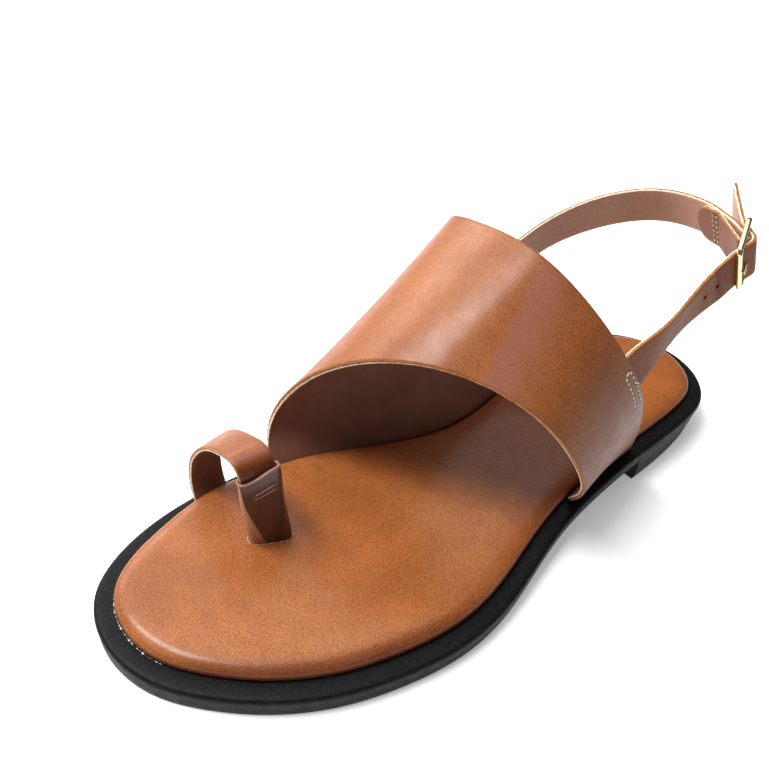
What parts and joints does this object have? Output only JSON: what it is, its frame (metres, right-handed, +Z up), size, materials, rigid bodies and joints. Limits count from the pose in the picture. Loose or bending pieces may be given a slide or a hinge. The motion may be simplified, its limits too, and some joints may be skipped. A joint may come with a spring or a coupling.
{
  "type": "toe loop sandal",
  "caption": "Flat leather sandal for the left foot: high wrap over the instep, loop round the big toe, buckled back strap, low rubber sole.",
  "frame": {"origin": "on the tread under the ball of the foot, 75 mm behind the toe tip, on the line the sole's outline is measured from", "axes": "+X towards the lateral side, +Y towards the heel, +Z up; the shoe stands on z = 0 with its toe towards -Y"},
  "size_m": [0.0974, 0.255, 0.1033],
  "materials": {
    "rubber": "matt",
    "footbed_leather": "smooth, softly glossy",
    "upper_leather": "smooth, glossy",
    "sleeve_plastic": "glossy, brown",
    "pale_gold": "polished pale gold"
  },
  "bodies": {
    "root": {"outsole": "rubber", "footbed": "footbed_leather", "vamp": "upper_leather", "toe_loop": "upper_leather", "toe_post_sleeve": "sleeve_plastic", "back_strap_medial": "upper_leather", "back_strap_lateral": "upper_leather", "buckle_frame": "pale_gold", "buckle_prong": "pale_gold"}
  },
  "joints": []
}
